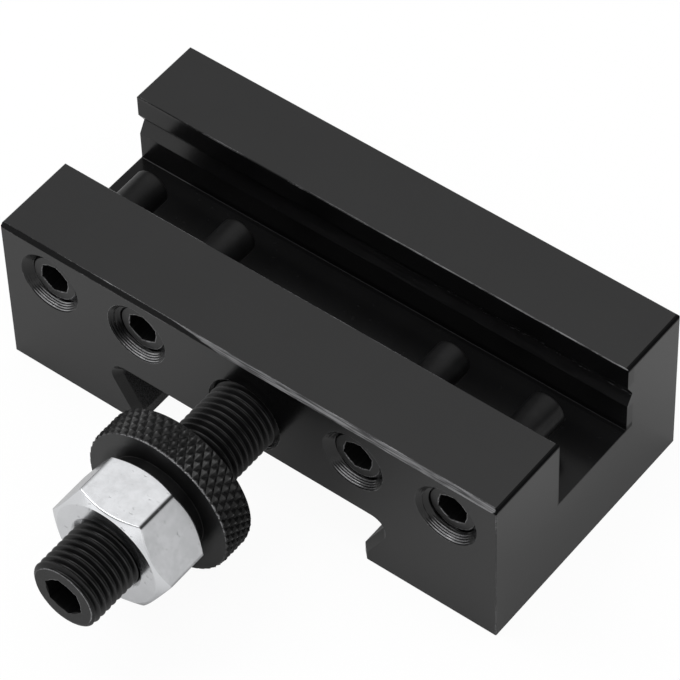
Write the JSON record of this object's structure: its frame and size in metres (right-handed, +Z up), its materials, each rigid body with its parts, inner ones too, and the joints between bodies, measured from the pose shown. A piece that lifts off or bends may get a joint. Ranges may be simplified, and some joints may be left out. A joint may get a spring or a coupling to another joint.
{
  "type": "lathe tool holder",
  "caption": "Dovetail quick-change lathe tool holder with a V-grooved tool slot, socket clamping screws and a height stud with a knurled nut and a hexagon lock nut.",
  "frame": {"origin": "middle of the dovetail mouth, in the plane of the base", "axes": "+X along the tool slot, +Y along the dovetail from the set screw face to the far face, +Z up out of the open tool slot"},
  "size_m": [0.076, 0.0719, 0.0254],
  "materials": {
    "black_body": "black oxide on machined steel, satin, with bright worn edges",
    "black_screw": "black oxide on turned and rolled steel",
    "black_stud": "black oxide on a rolled thread, lightly oiled",
    "black_knurl": "black oxide on a diamond knurl, bright on its worn points",
    "bright_zinc": "bright zinc plate, faintly nicked"
  },
  "bodies": {
    "holder": {"holder_body": "black_body"},
    "set_screw_1": {"set_screw_1": "black_screw"},
    "set_screw_2": {"set_screw_2": "black_screw"},
    "set_screw_3": {"set_screw_3": "black_screw"},
    "set_screw_4": {"set_screw_4": "black_screw"},
    "stud": {"height_stud": "black_stud"},
    "height_nut": {"knurled_nut": "black_knurl"},
    "lock_nut": {"lock_nut": "bright_zinc"}
  },
  "joints": [
    {"name": "set_screw_1_travel", "type": "slide", "parent": "holder", "child": "set_screw_1", "axis": [0, 1, 0], "range_m": [-0.00875, 0.005]},
    {"name": "set_screw_2_travel", "type": "slide", "parent": "holder", "child": "set_screw_2", "axis": [0, 1, 0], "range_m": [-0.00875, 0.005]},
    {"name": "set_screw_3_travel", "type": "slide", "parent": "holder", "child": "set_screw_3", "axis": [0, 1, 0], "range_m": [-0.00875, 0.005]},
    {"name": "set_screw_4_travel", "type": "slide", "parent": "holder", "child": "set_screw_4", "axis": [0, 1, 0], "range_m": [-0.00875, 0.005]},
    {"name": "stud_turn", "type": "hinge", "parent": "holder", "child": "stud", "pos_m": [0, -0.01875, 0.0146], "axis": [0, 1, 0], "range_deg": [-2880, 0]},
    {"name": "height_nut_travel", "type": "slide", "parent": "stud", "child": "height_nut", "axis": [0, 1, 0], "range_m": [-0.004, 0.011]},
    {"name": "lock_nut_travel", "type": "slide", "parent": "height_nut", "child": "lock_nut", "axis": [0, -1, 0], "range_m": [0, 0.003]}
  ]
}
